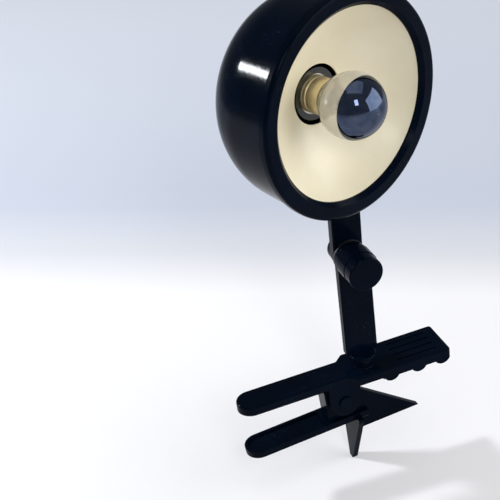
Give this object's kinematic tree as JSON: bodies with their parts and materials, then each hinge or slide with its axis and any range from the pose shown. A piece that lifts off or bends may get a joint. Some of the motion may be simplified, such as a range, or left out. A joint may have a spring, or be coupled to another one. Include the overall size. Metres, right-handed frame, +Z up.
{
  "type": "clamp spotlight lamp",
  "caption": "Spring-clamp lamp: round drum head with dished reflector and a bulb with a mirrored crown, on a hinged flat-bar arm.",
  "frame": {"origin": "middle of the upper jaw's grip face", "axes": "+X from the jaw towards the clamp's handle, -Y the side that the lamp faces, +Z up out of the upper lever"},
  "size_m": [0.1845, 0.1206, 0.3766],
  "materials": {
    "black_plastic": "gloss",
    "drum_plastic": "gloss",
    "cream_enamel": "satin",
    "steel": "blackened",
    "zinc": "satin",
    "brass": "satin",
    "cap_brass": "satin",
    "holder_plastic": "matte",
    "fibre": "matte",
    "bulb_glass": "clear gloss",
    "bulb_mirror": "mirror",
    "contact_metal": "satin"
  },
  "bodies": {
    "clamp": {"upper_lever": "black_plastic", "pivot_pin": "steel", "turret_washer": "fibre"},
    "jaw": {"lower_lever": "black_plastic", "torsion_spring": "steel"},
    "stem": {"turret": "black_plastic", "turret_screw": "zinc", "lower_arm": "black_plastic"},
    "upper": {"upper_arm": "black_plastic", "hinge_bolt": "zinc", "hinge_knob": "black_plastic", "hinge_nut": "zinc", "hinge_cap": "black_plastic", "friction_washer": "fibre", "collar_washer": "fibre"},
    "head": {"front_ring": "black_plastic", "drum_shell": "drum_plastic", "reflector": "cream_enamel", "holder_body": "holder_plastic", "holder_shell": "brass", "holder_contact": "contact_metal", "nipple": "zinc", "back_nut": "zinc", "inner_nut": "zinc", "bulb_glass": "bulb_glass", "bulb_mirror": "bulb_mirror", "bulb_cap": "cap_brass", "bulb_contact": "contact_metal", "head_collar": "black_plastic", "collar_bolt": "zinc"}
  },
  "joints": [
    {"name": "clamp_lever", "type": "hinge", "parent": "clamp", "child": "jaw", "pos_m": [0.0465, 0, -0.0155], "axis": [0, -1, 0], "range_deg": [0, 24], "stiffness_Nm_per_rad": 1.2, "springref_deg": -20.05},
    {"name": "turret_swivel", "type": "hinge", "parent": "clamp", "child": "stem", "pos_m": [0.068, 0, 0.0072], "axis": [0, 0, 1], "range_deg": [-170, 170]},
    {"name": "elbow_hinge", "type": "hinge", "parent": "stem", "child": "upper", "pos_m": [0.068, 0, 0.097], "axis": [0, 1, 0], "range_deg": [-80, 80]},
    {"name": "head_swivel", "type": "hinge", "parent": "upper", "child": "head", "pos_m": [0.06876, 0.0137, 0.13649], "axis": [0.0192, 0, 0.9998], "range_deg": [-150, 150]}
  ]
}
